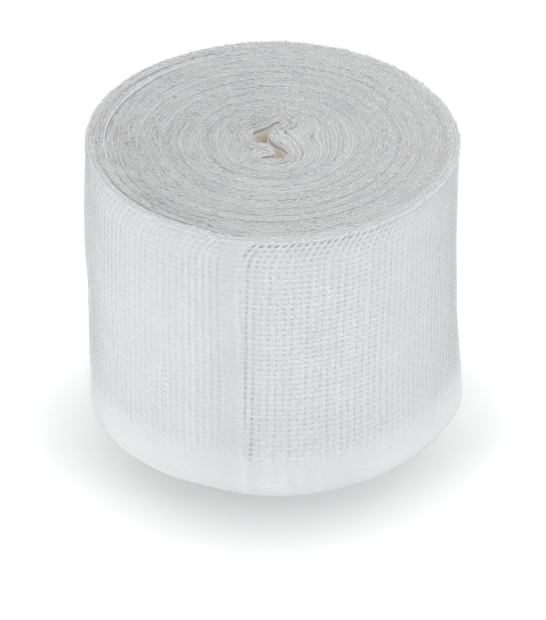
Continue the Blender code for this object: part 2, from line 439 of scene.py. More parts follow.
def cotton(name, dark, light, spotted, streaks=True, through=0.6, bump=0.3, foot=(0.010, 0.002)):
    """Cotton thread: streaks along it, uneven whiteness from thread to thread, and fibres as relief.

    Next to the foot, where the threads lie packed without a hole, it is painted whiter: painted light that brightens
    the foot.
    """
    material = bpy.data.materials.new(name)
    material.use_nodes = True
    nodes, links = material.node_tree.nodes, material.node_tree.links
    shader = nodes["Principled BSDF"]
    place = nodes.new("ShaderNodeTexCoord").outputs["Object"]
    if streaks:
        own = nodes.new("ShaderNodeUVMap")
        own.uv_map = "thread_uv"
        run = nodes.new("ShaderNodeMapping")
        run.inputs["Scale"].default_value = (9.0, 34.0, 1.0)
        links.new(own.outputs[0], run.inputs["Vector"])
        fibre_vector = run.outputs[0]
        fibres = shader_noise(nodes, links, fibre_vector, 1.0, 3.0)
    else:
        fibres = shader_noise(nodes, links, place, 5200.0, 3.0)
    thread = nodes.new("ShaderNodeAttribute")
    thread.attribute_name = "thread"
    odd = nodes.new("ShaderNodeTexWhiteNoise")
    odd.noise_dimensions = "1D"
    links.new(thread.outputs["Fac"], odd.inputs["W"])
    patches = shader_noise(nodes, links, place, 140.0, 3.0)
    shade = mix_colours(nodes, links, shader_ramp(nodes, links, fibres, 0.35, 0.65), dark, light)
    between = mix_colours(nodes, links, odd.outputs["Value"], shade, light)
    worn = mix_colours(nodes, links, shader_ramp(nodes, links, patches, 0.48, 0.75), between, spotted)
    apart = nodes.new("ShaderNodeSeparateXYZ")
    links.new(place, apart.inputs[0])
    # Painted light: below about a centimetre the colour is mixed towards a near white.
    painted_foot_light = shader_ramp(nodes, links, apart.outputs["Z"], *foot)
    worn = mix_colours(nodes, links, painted_foot_light, worn, FOOT_PAINTED_LIGHT)
    links.new(worn, shader.inputs["Base Color"])
    relief = nodes.new("ShaderNodeBump")
    relief.inputs["Strength"].default_value = bump
    relief.inputs["Distance"].default_value = 0.00005
    links.new(fibres, relief.inputs["Height"])
    links.new(relief.outputs["Normal"], shader.inputs["Normal"])
    shader.inputs["Roughness"].default_value = 0.92
    shader.inputs["Specular IOR Level"].default_value = 0.25
    shader.inputs["Sheen Weight"].default_value = 0.1
    shader.inputs["Sheen Roughness"].default_value = 0.6
    soaked = nodes.new("ShaderNodeBsdfTranslucent")
    links.new(worn, soaked.inputs["Color"])
    both = nodes.new("ShaderNodeMixShader")
    both.inputs["Fac"].default_value = through
    links.new(shader.outputs[0], both.inputs[1])
    links.new(soaked.outputs[0], both.inputs[2])
    links.new(both.outputs[0], nodes["Material Output"].inputs["Surface"])
    return material


weft_cotton = cotton("weft_cotton", (0.87, 0.884, 0.894, 1), (0.915, 0.926, 0.934, 1), (0.89, 0.902, 0.912, 1))
warp_cotton = cotton("warp_cotton", (0.925, 0.935, 0.94, 1), (0.96, 0.965, 0.97, 1), (0.93, 0.94, 0.945, 1),
                     foot=(0.006, 0.002))
# The lower turn's threads are a little greyer than the upper ones: painted shade for the gaps between the upper
# threads.
below_cotton = cotton("below_cotton", (0.86, 0.87, 0.87, 1), (0.90, 0.905, 0.905, 1), (0.87, 0.88, 0.88, 1))
print("three cottons for the threads")

# %% [markdown]
# The upright threads are the wefts. A real one is a soft flat strand that goes over one level thread
# and under the next, and where the strip is loose it wanders. Each is a tube with an oval section:
# the tree sets one tube for each thread, gives every point its place on the flat cloth, bends it up
# and down past the level threads, and lets the guide carry it round the roll. At the top edge the
# threads are dragged to the right, as the rolling hand left them.

# %% The way the cloth has settled
WEFT_PITCH = 1.25               # mm from one upright thread to the next
WARPS = 50                      # level threads across the strip
CLOTH_WIDTH = 50.0              # mm
DRAG, DRAG_DEPTH = 3.0, 5.5     # mm that the top edge is dragged along, and from how far down
SKEW = 1.3                      # mm by which the whole strip leans over its width
END_DRIFT, END_REACH = 2.2, 30.0   # mm that the outer end slants, and how far back that reaches
WANDER = 0.38                   # mm that the threads wander in long waves
OUTER_END = length_at(2.0)
UNDER_LAP = 3.5                 # mm that the upper turn's threads reach back under the outer end
OUTER_START = length_at(1.0) - UNDER_LAP
CREASES = ((1.925, 0.34, 0.13, 0.42), (1.993, 0.64, 0.10, 0.3))
SLIP_FROM, SLIP_TO = length_at(0.08), length_at(0.145)
CREASE_REACH = 2.5              # mm on either side of a crease, over which the threads part
# Each crease: its place in turns, its middle and half its height as shares of the width, and the
# distance in mm by which the threads beside it are pushed away.


def gap_near(turn):
    """Length of cloth at the gap between two upright threads that is nearest to a place in turns."""
    return OUTER_START + round((length_at(turn) - OUTER_START) / WEFT_PITCH) * WEFT_PITCH


def settled(tree, x, v, thread, behind):
    """Where a flat place of the cloth lies after winding: a length in mm and a share of the width."""
    down = tree.sum("MAXIMUM", (v - 1.0) * (CLOTH_WIDTH / DRAG_DEPTH) + 1.0, 0.0)
    drag = down * down * DRAG
    near_end = tree.sum("MAXIMUM", (x + behind - (OUTER_END - END_REACH)) / END_REACH, 0.0)
    slant = near_end * near_end * (0.5 - v) * END_DRIFT
    lean = (v - 0.5) * SKEW
    waves = tree.noise(tree.vector((x + behind) * 0.035, v * 2.2, 0.0), 1.0)
    own = tree.noise(tree.vector(thread * 7.7, v * 3.0, 5.0), 1.0)
    level_waves = tree.noise(tree.vector((x + behind) * 0.06, v * 3.0, 9.0), 1.0)
    slipped = tree.sum("MINIMUM", tree.sum("MAXIMUM", (x - SLIP_FROM) / (SLIP_TO - SLIP_FROM), 0.0), 1.0)
    slipped = slipped * tree.sum("MINIMUM", behind, 1.0) * (WEFT_PITCH / 2)
    x = x + drag + slant + lean + slipped + waves * WANDER + own * 0.10
    for turn, middle, reach, spread in CREASES:
        aside = (x + behind) - gap_near(turn)
        near = tree.sum("MAXIMUM", 1.0 - tree.sum("ABSOLUTE", aside) / CREASE_REACH, 0.0)
        beside = tree.sum("MAXIMUM", 1.0 - tree.sum("ABSOLUTE", v - middle) / reach, 0.0)
        x = x + tree.sum("SIGN", aside) * near * beside * spread
    v = v + level_waves * 0.006
    return x, tree.sum("MINIMUM", tree.sum("MAXIMUM", v, 0.0006), 0.9994)


def lay_on_guide(tree, guide_object, shape, x, v, offset):
    """Moves every point to its place on the roll, offset in mm outwards."""
    shown = tree.node("GeometryNodeObjectInfo", {"Object": guide_object}, out="Geometry")
    flat = tree.attribute("cloth_uv", "FLOAT_VECTOR")
    spot = tree.vector(x / GUIDE_LENGTH, v)

    def sample(value):
        inputs = {"Mesh": shown, "Value": value, "UV Map": flat, "Sample UV": spot}
        return tree.node("GeometryNodeSampleUVSurface", inputs, data_type="FLOAT_VECTOR")

    place = sample(tree.node("GeometryNodeInputPosition"))
    outward = sample(tree.attribute("outward", "FLOAT_VECTOR"))
    place = tree.vectors("ADD", place, tree.vectors("SCALE", outward, offset * MM))
    return tree.node("GeometryNodeSetPosition", {"Geometry": shape, "Position": place})


def threads_at_origin(tree, count, sides, segments):
    """One upright tube of girth and length one for each thread, with its number and its own map."""
    tube_inputs = {"Vertices": sides, "Side Segments": segments, "Radius": 1.0, "Depth": 1.0}
    node_tube = tree.node("GeometryNodeMeshCylinder", tube_inputs, fill_type="TRIANGLE_FAN")
    own_map = Field(tree, node_tube.socket.node.outputs["UV Map"])
    tube = tree.keep(node_tube, "thread_uv", own_map, "FLOAT2", "CORNER")
    points = tree.node("GeometryNodePoints", {"Count": count})
    threads = tree.node("GeometryNodeInstanceOnPoints", {"Points": points, "Instance": tube})
    number = tree.node("GeometryNodeInputIndex")
    threads = tree.keep(threads, "thread", number, "FLOAT", "INSTANCE")
    return tree.node("GeometryNodeRealizeInstances", {"Geometry": threads})


# %% Tree for the upright threads
FOOT_FILLED, FOOT_SOFT = 0.15, 0.05   # shares of the width, at the foot, where the threads swell
FOOT_SWELL, FOOT_FLATTER = 0.8, 0.5


def weft_tree(material):
    tree = Tree("wefts")
    guide_object = tree.size("Guide", "Object")
    count = tree.size("Threads", "Int")
    sides, segments = tree.size("Sides", "Int"), tree.size("Segments", "Int")
    start, pitch = tree.size("Start"), tree.size("Pitch")
    half_width, half_depth = tree.size("Half Width"), tree.size("Half Depth")
    crimp, raised, behind = tree.size("Crimp"), tree.size("Raised"), tree.size("Behind")
    shape = threads_at_origin(tree, count, sides, segments)
    across, face, along = tree.parts(tree.node("GeometryNodeInputPosition"))
    thread = tree.attribute("thread")
    v = along + 0.5
    foot = tree.sum("MINIMUM", tree.sum("MAXIMUM", (FOOT_FILLED - v) / FOOT_SOFT, 0.0), 1.0)
    girth = tree.noise(tree.vector(thread * 3.1, v * 22.0, 2.0), 1.0) * 0.16 + 1.0 + foot * FOOT_SWELL
    x = start + (thread + 0.5) * pitch + across * half_width * girth
    bend = tree.sum("COSINE", (v * WARPS - 0.5 + thread) * math.pi)
    offset = raised + (bend * crimp - face * half_depth) * (1.0 - foot * FOOT_FLATTER)
    x, v = settled(tree, x, v, thread, behind)
    shape = lay_on_guide(tree, guide_object, shape, x, v, offset)
    return tree.finish(shape, material)


def empty_mesh():
    return bpy.data.meshes.new("carrier")


OUTER_COUNT = int((OUTER_END - OUTER_START) / WEFT_PITCH)
OPEN_SHARE, CLOSED_SHARE = 0.05, 0.90   # of a turn after the lap, where the two turns keep step


def lined_up():
    """Pitch and start of the lower turn's threads, lined up with the upper ones at the open share."""
    above = [(length_at(1 + share) - OUTER_START) / WEFT_PITCH for share in (OPEN_SHARE, CLOSED_SHARE)]
    below = [length_at(share) for share in (OPEN_SHARE, CLOSED_SHARE)]
    pitch = (below[1] - below[0]) / (above[1] - above[0])
    whole = int((below[0] - length_at(-OVERRUN * 0.9)) / pitch) - 1
    return pitch, below[0] - (whole + above[0] % 1.0) * pitch


INNER_PITCH, INNER_START = lined_up()
TURN_LENGTH = length_at(1.5) - length_at(0.5)
INNER_COUNT = int((OUTER_START - INNER_START) / INNER_PITCH) + 2
print("pitch", WEFT_PITCH, "above and", round(INNER_PITCH, 4), "below;", INNER_COUNT, "threads below")

CRISP_FROM = 50.0               # degrees: the flattened threads have two crisp sides and a soft face
wefts = weft_tree(weft_cotton)
wefts_below = weft_tree(below_cotton)
outer_wefts = grow(
    "outer_wefts", wefts, empty_mesh(), CRISP_FROM, guide=guide, threads=OUTER_COUNT, sides=6, segments=100,
    start=OUTER_START, pitch=WEFT_PITCH, half_width=0.37, half_depth=0.045, crimp=0.02, raised=0.0, behind=0.0,
)
inner_wefts = grow(
    "inner_wefts", wefts_below, empty_mesh(), CRISP_FROM, guide=guide, threads=INNER_COUNT, sides=4, segments=100,
    start=INNER_START, pitch=INNER_PITCH, half_width=0.34, half_depth=0.045, crimp=0.02, raised=0.0, behind=TURN_LENGTH,
)

# %% [markdown]
# The level threads are the warps, which run the whole length of the strip. They are thinner and are
# spun harder, and they catch the light as short bright dashes where they cross over a weft. The same
# formula is used the other way round: when a weft goes over, the warp goes under.

# %% Tree for the level threads
def warp_tree(material):
    tree = Tree("warps")
    guide_object = tree.size("Guide", "Object")
    sides, segments = tree.size("Sides", "Int"), tree.size("Segments", "Int")
    start, length, pitch = tree.size("Start"), tree.size("Length"), tree.size("Pitch")
    half_width, half_depth = tree.size("Half Width"), tree.size("Half Depth")
    crimp, behind = tree.size("Crimp"), tree.size("Behind")
    shape = threads_at_origin(tree, WARPS, sides, segments)
    across, face, along = tree.parts(tree.node("GeometryNodeInputPosition"))
    thread = tree.attribute("thread")
    flat_x = (along + 0.5) * length
    v = (thread + 0.5) / WARPS
    bend = tree.sum("COSINE", (flat_x / pitch - 0.5 + thread) * math.pi)
    offset = face * half_depth - bend * crimp
    x, v = settled(tree, flat_x + start, v, 0.0, behind)
    v = v + across * half_width / CLOTH_WIDTH
    v = tree.sum("MINIMUM", tree.sum("MAXIMUM", v, 0.0006), 0.9994)
    shape = lay_on_guide(tree, guide_object, shape, x, v, offset)
    return tree.finish(shape, material)


warps = warp_tree(warp_cotton)
warps_below = warp_tree(below_cotton)
outer_warps = grow(
    "outer_warps", warps, empty_mesh(), CRISP_FROM, guide=guide, sides=5, segments=2 * OUTER_COUNT,
    start=OUTER_START, length=OUTER_COUNT * WEFT_PITCH, pitch=WEFT_PITCH,
    half_width=0.17, half_depth=0.045, crimp=0.038, behind=0.0,
)
inner_warps = grow(
    "inner_warps", warps_below, empty_mesh(), CRISP_FROM, guide=guide, sides=3, segments=2 * INNER_COUNT,
    start=INNER_START, length=INNER_COUNT * INNER_PITCH, pitch=INNER_PITCH,
    half_width=0.17, half_depth=0.045, crimp=0.035, behind=TURN_LENGTH,
)

# %% [markdown]
# The outer end of the strip is turned under, so for some two millimetres the cloth is double: the
# threads of the part underneath fill the gaps of the part on top, and no hole is left. It shows as a
# smooth pale band down the wall. The same tree weaves the threads underneath, half a step aside.

# %% The doubled outer end
BAND_THREADS = 2
end_band = grow(
    "end_band", wefts, empty_mesh(), CRISP_FROM, guide=guide, threads=BAND_THREADS, sides=6, segments=100,
    start=OUTER_START + (OUTER_COUNT - BAND_THREADS - 0.5) * WEFT_PITCH, pitch=WEFT_PITCH,
    half_width=0.34, half_depth=0.04, crimp=0.01, raised=-0.035, behind=0.0,
)

# %% [markdown]
# Under the two woven turns the roll is simply packed cotton, seen only through the holes and in the
# depth of the core. A copy of the solid does for it, drawn in by a little more than a millimetre on
# every side, with the void kept where it is.

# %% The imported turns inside
WALL_DRAWN_IN = 0.24            # mm
BESIDE_LAP = 0.02               # of a turn, within which a place may lie on the step at the lap
TOP_DRAWN_IN = 1.1
FOOT_DRAWN_IN = 0.15
CORE_REACH = 7.5                # mm from the axis, inside which the wall is that of the void


def inner_cotton_painted_light_and_shade():
    """Packed turns: grey white, with soft unevenness and a trace of the weave as relief.

    Its colour is painted light and shade: grey in the holes for the shade inside them, warm beige in the
    core for the shade of the void, tinted as by light that has come through the cloth, and white next to
    the foot.
    """
    material = bpy.data.materials.new("packed_cotton")
    material.use_nodes = True
    nodes, links = material.node_tree.nodes, material.node_tree.links
    shader = nodes["Principled BSDF"]
    place = nodes.new("ShaderNodeTexCoord").outputs["Object"]
    grain = shader_noise(nodes, links, place, 1400.0, 4.0)
    soft = shader_noise(nodes, links, place, 260.0, 2.0)
    apart = nodes.new("ShaderNodeSeparateXYZ")
    links.new(place, apart.inputs[0])
    length = nodes.new("ShaderNodeVectorMath")
    length.operation = "LENGTH"
    flat = nodes.new("ShaderNodeCombineXYZ")
    links.new(apart.outputs["X"], flat.inputs["X"])
    links.new(apart.outputs["Y"], flat.inputs["Y"])
    links.new(flat.outputs[0], length.inputs[0])
    core = shader_ramp(nodes, links, length.outputs["Value"], 0.012, 0.007)
    # Painted light: below about eight millimetres the packed cotton turns white, brightening the foot.
    edge = shader_ramp(nodes, links, apart.outputs["Z"], 0.008, 0.005)
    # Painted shade: the packed cotton seen through the holes is grey, for the shade inside them.
    hole_painted_shade = mix_colours(nodes, links, soft, (0.64, 0.635, 0.62, 1), (0.72, 0.715, 0.70, 1))
    wall_painted_light_and_shade = mix_colours(nodes, links, edge, hole_painted_shade, (0.96, 0.965, 0.97, 1))
    # Painted shade in the core: warm beige deep in the void, tinted as by light through the cloth, and grey near its
    # mouth.
    core_painted_shade = mix_colours(nodes, links, soft, (0.64, 0.58, 0.485, 1), (0.74, 0.69, 0.61, 1))
    deep = shader_ramp(nodes, links, apart.outputs["Z"], 0.0498, 0.0484)
    core_painted_shade = mix_colours(nodes, links, deep, (0.72, 0.72, 0.71, 1), core_painted_shade)
    colour = mix_colours(nodes, links, core, wall_painted_light_and_shade, core_painted_shade)
    links.new(colour, shader.inputs["Base Color"])
    relief = nodes.new("ShaderNodeBump")
    relief.inputs["Strength"].default_value = 0.5
    relief.inputs["Distance"].default_value = 0.0002
    links.new(grain, relief.inputs["Height"])
    links.new(relief.outputs["Normal"], shader.inputs["Normal"])
    shader.inputs["Roughness"].default_value = 0.95
    shader.inputs["Specular IOR Level"].default_value = 0.2
    return material


def drawn_in(co):
    """A point of the solid, moved inwards, in mm."""
    flat = co.xy - AXIS
    radius = flat.length
    share = (math.degrees(math.atan2(flat.y, flat.x)) - LAP_ANGLE) % 360 / 360
    near_end = float(eased((share - 1) / END_SHARE + 1))
    if share < BESIDE_LAP and radius > wall_at(share, co.z) + LAYER / 2:
        near_end = 1.0
    elif share > 1 - BESIDE_LAP and radius < wall_at(share, co.z) - LAYER / 2:
        near_end = 0.0
    shrink = WALL_DRAWN_IN + (LAYER - PRESSED_LAYER) * near_end
    shrink *= float(eased((radius - 26.0) / 4.0))
    flat = flat * ((radius - shrink) / max(radius, 1e-6)) + AXIS
    level = co.z
    if level > HALF_HEIGHT:
        level -= TOP_DRAWN_IN * float(eased((level - 40.0) / 8.0) * (0.5 + 0.5 * eased((radius - 7.0) / 2.0)))
    else:
        level += FOOT_DRAWN_IN * float(eased((10.0 - level) / 8.0))
    return Vector((*flat, level))


def packed_turns():
    bm = bmesh.new()
    bm.from_mesh(solid.data)
    bmesh.ops.remove_doubles(bm, verts=bm.verts, dist=1e-6)
    bmesh.ops.triangulate(bm, faces=bm.faces)
    for vert in bm.verts:
        vert.co = drawn_in(vert.co / MM) * MM
    mesh = bpy.data.meshes.new("packed_turns")
    bm.to_mesh(mesh)
    bm.free()
    mesh.shade_smooth()
    mesh.set_sharp_from_angle(angle=math.radians(40))
    mesh.materials.clear()
    mesh.materials.append(inner_cotton_painted_light_and_shade())
    return make_object("packed_turns", mesh)


packed = packed_turns()
print("packed turns:", len(packed.data.polygons), "faces")

# %% [markdown]
# The end face is made of the edges of the turns. Near the wall they are almost circles, and near the
# core they follow the folded start of the strip round its S-shaped void. One map of distances holds
# both: close in, it says how far a place is from the void, and further out, how far it is from the
# axis. Lines of equal distance are the closed folds of the core, and a line whose distance grows by
# one layer a turn is the spiral of the winding.

# %% The outline of the void
VOID_READ_LEVEL = 48.6          # mm, the height at which the void's outline is read


def chained(edges):
    """Orders loose edges into lists of points, in mm."""
    left = set(edges)
    lines = []
    while left:
        edge = left.pop()
        line = [edge.verts[0], edge.verts[1]]
        growing = True
        while growing:
            growing = next((e for e in line[-1].link_edges if e in left), None)
            if growing:
                left.remove(growing)
                line.append(growing.other_vert(line[-1]))
        lines.append([vert.co / MM for vert in line])
    return lines


def void_outline():
    bm = bmesh.new()
    bm.from_mesh(solid.data)
    bmesh.ops.remove_doubles(bm, verts=bm.verts, dist=1e-6)
    whole = bm.verts[:] + bm.edges[:] + bm.faces[:]
    plane = (0.0, 0.0, VOID_READ_LEVEL * MM)
    cut = bmesh.ops.bisect_plane(bm, geom=whole, plane_co=plane, plane_no=(0, 0, 1))["geom_cut"]
    edges = [e for e in cut if isinstance(e, bmesh.types.BMEdge)]
    edges = [e for e in edges if max((v.co.xy / MM - AXIS).length for v in e.verts) < CORE_REACH]
    line = max(chained(edges), key=len)
    bm.free()
    return np.array([(point.x, point.y) for point in line])


outline = void_outline()
print("outline of the void:", len(outline), "points")

# %% The map of distances
FIELD_BLEND = (6.0, 16.0)       # mm from the axis, between which the S gives way to circles
FIELD_OFFSET = 3.9              # mm that the two kinds of distance differ by
FULL_RADIUS = 31.6
KINK_SPAN = 22                  # steps of the grid to either side, over which kinks are evened out
KINK_WORN = (4.5, 8.5)          # mm from the axis, between which they fade


def distance_to_void(x, y):
    """Distance from the void's outline, below nought inside it."""
    first, second = outline, np.roll(outline, -1, axis=0)
    side = second - first
    px, py = x[..., None] - first[:, 0], y[..., None] - first[:, 1]
    along = (px * side[:, 0] + py * side[:, 1]) / np.maximum((side ** 2).sum(1), 1e-9)
    along = along.clip(0, 1)
    gap = np.hypot(px - along * side[:, 0], py - along * side[:, 1]).min(-1)
    above = (first[:, 1] > y[..., None]) != (second[:, 1] > y[..., None])
    height = np.where(np.abs(side[:, 1]) < 1e-9, 1e-9, side[:, 1])
    crossing = x[..., None] < first[:, 0] + (y[..., None] - first[:, 1]) * side[:, 0] / height
    inside = (above & crossing).sum(-1) % 2 == 1
    return np.where(inside, -gap, gap)


def round_radius(radius, turned):
    """Distance from the axis as it would be in a perfectly round roll."""
    share = (turned - LAP_ANGLE) % 360 / 360
    full = np.interp(share, read_shares, wall[:, -1]) + LAYER * (1 - share)
    return radius * FULL_RADIUS / full


def distance_rounded(x, y):
    """Distance from the void on a grid of angles and radii, with the kinks of the S worn off outwards."""
    near = distance_to_void(x, y)
    once_round = near[:-1]
    mean = sum(np.roll(once_round, step, axis=0) for step in range(-KINK_SPAN, KINK_SPAN + 1))
    mean = np.concatenate((mean, mean[:1])) / (2 * KINK_SPAN + 1)
    worn = eased((np.hypot(x - AXIS.x, y - AXIS.y) - KINK_WORN[0]) / (KINK_WORN[1] - KINK_WORN[0]))
    return near * (1 - worn) + mean * worn


def layer_distance(x, y, near=None):
    """Distance by which the turns are counted, from nearly nought at the void to most at the wall."""
    near = distance_to_void(x, y) if near is None else near
    radius = np.hypot(x - AXIS.x, y - AXIS.y)
    turned = np.degrees(np.arctan2(y - AXIS.y, x - AXIS.x))
    share = eased((radius - FIELD_BLEND[0]) / (FIELD_BLEND[1] - FIELD_BLEND[0]))
    return (1 - share) * near + share * (round_radius(radius, turned) - FIELD_OFFSET)


polar_angles = np.arange(0.0, 361.0, 1.5)
polar_radii = np.arange(2.0, 32.6, 0.1)
polar_x = AXIS.x + polar_radii[None, :] * np.cos(np.radians(polar_angles))[:, None]
polar_y = AXIS.y + polar_radii[None, :] * np.sin(np.radians(polar_angles))[:, None]
polar_field = layer_distance(polar_x, polar_y, distance_rounded(polar_x, polar_y))
rising_field = np.minimum.accumulate(polar_field[:, ::-1], axis=1)[:, ::-1]


def radius_at(turned, distance):
    """Distance from the axis at which a turn lies, at an angle."""
    place = turned % 360 / 1.5
    low, part = int(place), place % 1.0
    first = np.interp(distance, rising_field[low], polar_radii)
    second = np.interp(distance, rising_field[low + 1], polar_radii)
    return first * (1 - part) + second * part


print("map of distances from", polar_field.min().round(1), "to", polar_field.max().round(1), "mm")

# %% The lines that the edges follow
EDGE_STEP = 0.6                 # mm between two points of a line
OUTER_LEVEL = FULL_RADIUS - SKIN_DEPTH - FIELD_OFFSET
CORE_LEVELS = (0.40, 0.80, 1.20, 1.60, 2.00, 2.40)
SPIRAL_END = 2.82               # mm, the level at which the spiral gives way to closed folds
SINKING, SUNK = 8, 1.2          # points before its end over which it sinks, and by how many mm
TUCKED_UNDER = 0.33             # mm that the outermost turn's edge lies behind the woven one
WIDEST = 2.2                    # times that a ridge grows wider where the turns lie further apart


GROOVE = ((0.74, 0.8, 0.92, 0.95), (0.12, 2.0, 2.0, 0.12))   # mm deep beside the cuff, by share


def edge_height(x, y, radius, share):
    """Height of the turn's edge at a place of the end face."""
    level = read_top(x, y)
    if radius > 28.0:
        level -= float(np.interp(share, read_shares, cuff * (1 - cuff_left)))
    if radius > 26.0:
        level = max(level, plain_rim - float(np.interp(share, *GROOVE)))
    return level


def spiral(first_turn, last_level, layer, step):
    """Points of the winding, from the outside in, with the turn and the ridge's size for each."""
    points, turns, sizes = [], [], []
    turn = first_turn
    level = OUTER_LEVEL - layer * turn
    while level > last_level:
        turned = LAP_ANGLE + 360 * (1 - turn)
        radius = radius_at(turned, level)
        apart = (radius - radius_at(turned, level - layer)) / layer
        share = (1 - turn) % 1.0
        if turn < 1:
            radius -= END_PRESSED * float(eased((share - 1) / END_SHARE + 1))
        radius -= TUCKED_UNDER * float(eased((1.15 - turn) / 0.15))
        x, y = AXIS + direction(turned) * radius
        points.append((x, y, radius, share))
        turns.append(int(turn))
        sizes.append(min(max(apart, 1.0), WIDEST))
        turn += step / (2 * math.pi * radius)
        level = OUTER_LEVEL - layer * turn
    return points, turns, sizes


def fold_lines(levels, reach=9.0, cell=0.2):
    """Closed lines of equal distance round the void."""
    spots = np.arange(-reach, reach + cell / 2, cell)
    grid_x, grid_y = np.meshgrid(spots + AXIS.x, spots + AXIS.y)
    heights = layer_distance(grid_x, grid_y)
    count = len(spots)
    verts = np.stack((grid_x, grid_y, heights), -1).reshape(-1, 3) * MM
    faces = [
        (r * count + c, r * count + c + 1, (r + 1) * count + c + 1, (r + 1) * count + c)
        for r in range(count - 1)
        for c in range(count - 1)
    ]
    mesh = bpy.data.meshes.new("distance_map")
    mesh.from_pydata(verts.tolist(), [], faces)
    lines = []
    for level in levels:
        bm = bmesh.new()
        bm.from_mesh(mesh)
        whole = bm.verts[:] + bm.edges[:] + bm.faces[:]
        plane = (0.0, 0.0, level * MM)
        cut = bmesh.ops.bisect_plane(bm, geom=whole, plane_co=plane, plane_no=(0, 0, 1))["geom_cut"]
        for line in chained([e for e in cut if isinstance(e, bmesh.types.BMEdge)]):
            if len(line) > 30:
                lines.append([(point.x, point.y) for point in line])
        bm.free()
    bpy.data.meshes.remove(mesh)
    return lines


def even_steps(line, step):
    """A closed line with its points an even step apart."""
    line = np.array(line + [line[0]] if line[0] != line[-1] else line)
    lengths = np.concatenate(([0.0], np.cumsum(np.linalg.norm(np.diff(line, axis=0), axis=1))))
    places = np.linspace(0, lengths[-1], max(12, int(lengths[-1] / step)), endpoint=False)
    return np.stack([np.interp(places, lengths, line[:, n]) for n in (0, 1)], 1)


def line_mesh(name, points, links, turns, sizes):
    """A mesh of edges only, which carries a turn's number and size at each point."""
    mesh = bpy.data.meshes.new(name)
    mesh.from_pydata([Vector(point) * MM for point in points], links, [])
    for label, values in (("turn", turns), ("size", sizes)):
        layer = mesh.attributes.new(label, "FLOAT", "POINT")
        layer.data.foreach_set("value", [float(value) for value in values])
    return mesh


def winding_lines():
    """The spiral of the end face, as its outermost turn and the rest of it down to the core."""
    spots, turns, sizes = spiral(0.03, SPIRAL_END, LAYER, EDGE_STEP)
    points = [(x, y, edge_height(x, y, radius, share)) for x, y, radius, share in spots]
    for n in range(SINKING):
        x, y, level = points[-1 - n]
        points[-1 - n] = (x, y, level - SUNK * (1 - n / SINKING))
    first = turns.count(0)
    lines = []
    for name, part in (("outermost_line", slice(0, first + 1)), ("winding_lines", slice(first, None))):
        links = [(n, n + 1) for n in range(len(points[part]) - 1)]
        lines.append(line_mesh(name, points[part], links, turns[part], sizes[part]))
    return lines


def core_lines():
    points, links, turns = [], [], []
    for number, line in enumerate(fold_lines(CORE_LEVELS)):
        spots = even_steps(line, 0.35)
        first = len(points)
        points += [(x, y, read_top(x, y)) for x, y in spots]
        links += [(first + n, first + (n + 1) % len(spots)) for n in range(len(spots))]
        turns += [100 + number] * len(spots)
    return line_mesh("core_lines", points, links, turns, [0.95] * len(points))


outermost, winding = winding_lines()
folds = core_lines()
print("spiral of", len(winding.vertices), "points, folds of", len(folds.vertices))

# %% [markdown]
# The edge of a turn stands up as a narrow ridge with a rounded top. The tree takes the lines, lifts
# and lowers each turn a little, since no roll is wound quite flush, lets them waver, and sweeps a
# five-cornered section along them.

# %% Tree for the turn edges
def unsettle(tree, curve, jitter, waver):
    """Moves the lines up, down and sideways by turn and by place."""
    turn = tree.attribute("turn")
    place = tree.node("GeometryNodeInputPosition")
    own = tree.node("FunctionNodeRandomValue", {"Min": -1.0, "Max": 1.0, "ID": turn, "Seed": 4},
                    data_type="FLOAT")
    x, y, _ = tree.parts(place)
    seat = tree.vector(x, y, turn * 0.013)
    rise = own * jitter + tree.noise(seat, 90.0) * jitter
    shift = tree.vector(tree.noise(seat, 160.0) * waver, tree.noise(seat, 161.0) * waver, rise)
    move = tree.vectors("SCALE", shift, MM)
    return tree.node("GeometryNodeSetPosition", {"Geometry": curve, "Offset": move})


def edge_tree(material):
    tree = Tree("turn_edges")
    half_width, crown, skirt = tree.size("Half Width"), tree.size("Crown"), tree.size("Skirt")
    jitter, waver = tree.size("Jitter"), tree.size("Waver")
    facing = tree.size("Facing")
    curve = tree.node("GeometryNodeMeshToCurve", {"Mesh": tree.carrier})
    curve = unsettle(tree, curve, jitter, waver)
    curve = tree.node("GeometryNodeSetCurveNormal", {"Curve": curve}, mode="Z_UP")
    ring = tree.node("GeometryNodeCurvePrimitiveCircle", {"Resolution": 5, "Radius": 1.0})
    ring = tree.node("GeometryNodeTransform", {"Geometry": ring, "Rotation": (0, 0, math.pi / 2)})
    x, y, _ = tree.parts(tree.node("GeometryNodeInputPosition"))
    over = tree.sum("MAXIMUM", y, 0.0) * crown
    under = tree.sum("MINIMUM", y, 0.0) * skirt
    spot = tree.vector(x * half_width * facing * MM, (over + under) * facing * MM)
    ring = tree.node("GeometryNodeSetPosition", {"Geometry": ring, "Position": spot})
    inputs = {"Curve": curve, "Profile Curve": ring, "Scale": tree.attribute("size"),
              "Fill Caps": True}
    edges = tree.node("GeometryNodeCurveToMesh", inputs)
    edges = tree.keep(edges, "thread", tree.attribute("turn"))
    return tree.finish(edges, material)


# The edges of the turns are painted grey: painted shade, which makes the end face darker than the wall.
edge_cotton = cotton("edge_cotton", (0.65, 0.655, 0.665, 1), (0.75, 0.75, 0.755, 1),
                     (0.69, 0.69, 0.70, 1), streaks=False, through=0.2, bump=0.6)
edges = edge_tree(edge_cotton)
turn_edges = grow("turn_edges", edges, winding, half_width=0.29, crown=0.11, skirt=1.5,
                  jitter=0.06, waver=0.05, facing=-1.0)
